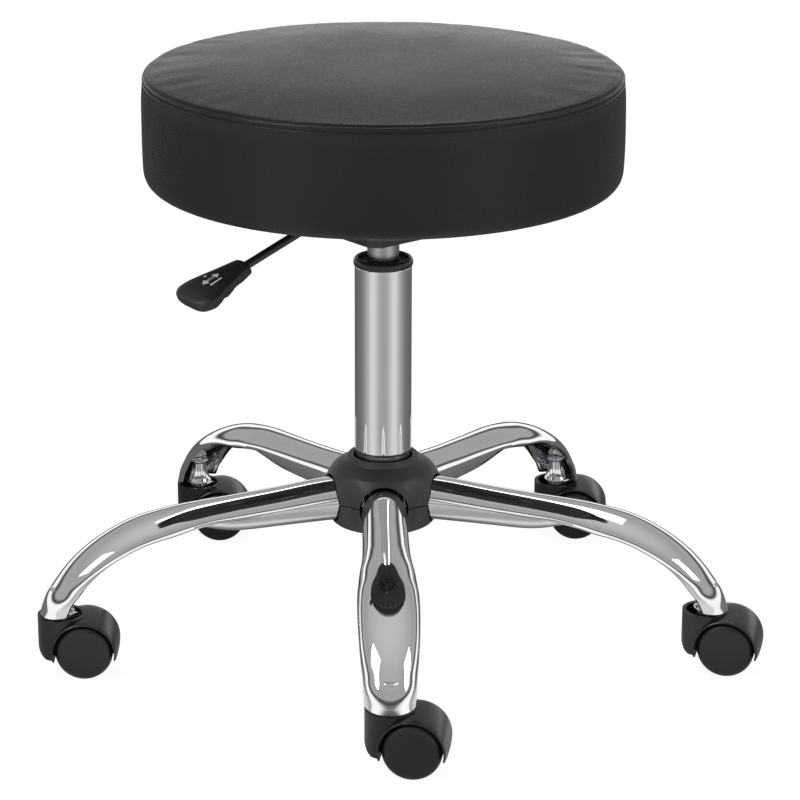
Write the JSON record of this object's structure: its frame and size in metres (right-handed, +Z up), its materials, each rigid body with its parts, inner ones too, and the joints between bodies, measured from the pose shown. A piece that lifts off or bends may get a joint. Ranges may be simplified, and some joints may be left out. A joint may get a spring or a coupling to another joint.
{
  "type": "adjustable swivel stool",
  "caption": "Round padded stool on a gas-lift column with a release lever and a chromed star base on twin-wheel casters.",
  "frame": {"origin": "on the floor under the column axis", "axes": "+Z up along the column, -Y along the front arm, +X to the right seen from the front"},
  "size_m": [0.6343, 0.5891, 0.522],
  "materials": {
    "steel_core": "satin",
    "hub_plastic": "fine texture",
    "arm_chrome": "polished",
    "socket_chrome": "polished",
    "stem_steel": "satin",
    "column_chrome": "polished",
    "collar_plastic": "satin",
    "bush_plastic": "satin",
    "bearing_steel": "ground",
    "rod_steel": "ground",
    "bumper_rubber": "matte",
    "cylinder_steel": "fine brushed",
    "plate_paint": "satin",
    "board_wood": "raw",
    "foam": "open cell",
    "vinyl": "fine grain, soft sheen",
    "dust_cloth": "non-woven",
    "fastener_steel": "zinc plated",
    "lever_paint": "satin",
    "grip_plastic": "fine texture",
    "hood_plastic": "satin",
    "axle_steel": "satin",
    "wheel_plastic": "satin"
  },
  "bodies": {
    "base": {"hub_core": "steel_core", "hub_cover_top": "hub_plastic", "hub_cover_bottom": "hub_plastic", "arm_1": "arm_chrome", "arm_2": "arm_chrome", "arm_3": "arm_chrome", "arm_4": "arm_chrome", "arm_5": "arm_chrome", "caster_socket_1": "socket_chrome", "caster_socket_2": "socket_chrome", "caster_socket_3": "socket_chrome", "caster_socket_4": "socket_chrome", "caster_socket_5": "socket_chrome", "caster_stem_1": "stem_steel", "caster_stem_2": "stem_steel", "caster_stem_3": "stem_steel", "caster_stem_4": "stem_steel", "caster_stem_5": "stem_steel", "column_tube": "column_chrome", "column_collar": "collar_plastic", "guide_bush": "bush_plastic", "thrust_bearing": "bearing_steel"},
    "rod": {"piston_rod": "rod_steel", "rubber_bumper": "bumper_rubber", "rod_clip": "bearing_steel"},
    "seat": {"gas_cylinder": "cylinder_steel", "seat_plate": "plate_paint", "seat_board": "board_wood", "seat_foam": "foam", "seat_cover_top": "vinyl", "seat_cover_band": "vinyl", "dust_cover": "dust_cloth", "plate_bolts": "fastener_steel", "tee_nuts": "fastener_steel", "staples": "fastener_steel"},
    "lever": {"lever_rod": "lever_paint", "lever_grip": "grip_plastic"},
    "button": {"release_button": "cylinder_steel"},
    "caster_1": {"caster_hood_1": "hood_plastic", "caster_axle_1": "axle_steel"},
    "wheel_1a": {"caster_wheel_1a": "wheel_plastic"},
    "wheel_1b": {"caster_wheel_1b": "wheel_plastic"},
    "caster_2": {"caster_hood_2": "hood_plastic", "caster_axle_2": "axle_steel"},
    "wheel_2a": {"caster_wheel_2a": "wheel_plastic"},
    "wheel_2b": {"caster_wheel_2b": "wheel_plastic"},
    "caster_3": {"caster_hood_3": "hood_plastic", "caster_axle_3": "axle_steel"},
    "wheel_3a": {"caster_wheel_3a": "wheel_plastic"},
    "wheel_3b": {"caster_wheel_3b": "wheel_plastic"},
    "caster_4": {"caster_hood_4": "hood_plastic", "caster_axle_4": "axle_steel"},
    "wheel_4a": {"caster_wheel_4a": "wheel_plastic"},
    "wheel_4b": {"caster_wheel_4b": "wheel_plastic"},
    "caster_5": {"caster_hood_5": "hood_plastic", "caster_axle_5": "axle_steel"},
    "wheel_5a": {"caster_wheel_5a": "wheel_plastic"},
    "wheel_5b": {"caster_wheel_5b": "wheel_plastic"}
  },
  "joints": [
    {"name": "seat_swivel", "type": "hinge", "parent": "base", "child": "rod", "pos_m": [0, 0, 0.104], "axis": [0, 0, 1], "continuous": true},
    {"name": "seat_height", "type": "slide", "parent": "rod", "child": "seat", "axis": [0, 0, 1], "range_m": [0, 0.127]},
    {"name": "lever_tilt", "type": "hinge", "parent": "seat", "child": "lever", "pos_m": [-0.0394, -0.03078, 0.4001], "axis": [-0.6157, 0.788, 0], "range_deg": [0, 6], "stiffness_Nm_per_rad": 1.5, "springref_deg": -8.59},
    {"name": "button_press", "type": "slide", "parent": "seat", "child": "button", "axis": [0, 0, -1], "range_m": [0, 0.0062]},
    {"name": "caster_swivel_1", "type": "hinge", "parent": "base", "child": "caster_1", "pos_m": [0, -0.295, 0.05], "axis": [0, 0, 1], "continuous": true},
    {"name": "wheel_roll_1a", "type": "hinge", "parent": "caster_1", "child": "wheel_1a", "pos_m": [0.01973, -0.2983, 0.025], "axis": [0.165, 0.9863, 0], "continuous": true},
    {"name": "wheel_roll_1b", "type": "hinge", "parent": "caster_1", "child": "wheel_1b", "pos_m": [0.01973, -0.2983, 0.025], "axis": [0.165, 0.9863, 0], "continuous": true},
    {"name": "caster_swivel_2", "type": "hinge", "parent": "base", "child": "caster_2", "pos_m": [0.28056, -0.09116, 0.05], "axis": [0, 0, 1], "continuous": true},
    {"name": "wheel_roll_2a", "type": "hinge", "parent": "caster_2", "child": "wheel_2a", "pos_m": [0.29983, -0.0965, 0.025], "axis": [0.2672, 0.9636, 0], "continuous": true},
    {"name": "wheel_roll_2b", "type": "hinge", "parent": "caster_2", "child": "wheel_2b", "pos_m": [0.29983, -0.0965, 0.025], "axis": [0.2672, 0.9636, 0], "continuous": true},
    {"name": "caster_swivel_3", "type": "hinge", "parent": "base", "child": "caster_3", "pos_m": [0.1734, 0.23866, 0.05], "axis": [0, 0, 1], "continuous": true},
    {"name": "wheel_roll_3a", "type": "hinge", "parent": "caster_3", "child": "wheel_3a", "pos_m": [0.19323, 0.23605, 0.025], "axis": [0.1305, 0.9914, 0], "continuous": true},
    {"name": "wheel_roll_3b", "type": "hinge", "parent": "caster_3", "child": "wheel_3b", "pos_m": [0.19323, 0.23605, 0.025], "axis": [0.1305, 0.9914, 0], "continuous": true},
    {"name": "caster_swivel_4", "type": "hinge", "parent": "base", "child": "caster_4", "pos_m": [-0.1734, 0.23866, 0.05], "axis": [0, 0, 1], "continuous": true},
    {"name": "wheel_roll_4a", "type": "hinge", "parent": "caster_4", "child": "wheel_4a", "pos_m": [-0.1534, 0.23814, 0.025], "axis": [0.0262, 0.9997, 0], "continuous": true},
    {"name": "wheel_roll_4b", "type": "hinge", "parent": "caster_4", "child": "wheel_4b", "pos_m": [-0.1534, 0.23814, 0.025], "axis": [0.0262, 0.9997, 0], "continuous": true},
    {"name": "caster_swivel_5", "type": "hinge", "parent": "base", "child": "caster_5", "pos_m": [-0.28056, -0.09116, 0.05], "axis": [0, 0, 1], "continuous": true},
    {"name": "wheel_roll_5a", "type": "hinge", "parent": "caster_5", "child": "wheel_5a", "pos_m": [-0.26057, -0.09168, 0.025], "axis": [0.0262, 0.9997, 0], "continuous": true},
    {"name": "wheel_roll_5b", "type": "hinge", "parent": "caster_5", "child": "wheel_5b", "pos_m": [-0.26057, -0.09168, 0.025], "axis": [0.0262, 0.9997, 0], "continuous": true}
  ],
  "couplings": [
    {"joint": "button_press", "follows": "lever_tilt", "m_per_rad": 0.055}
  ]
}
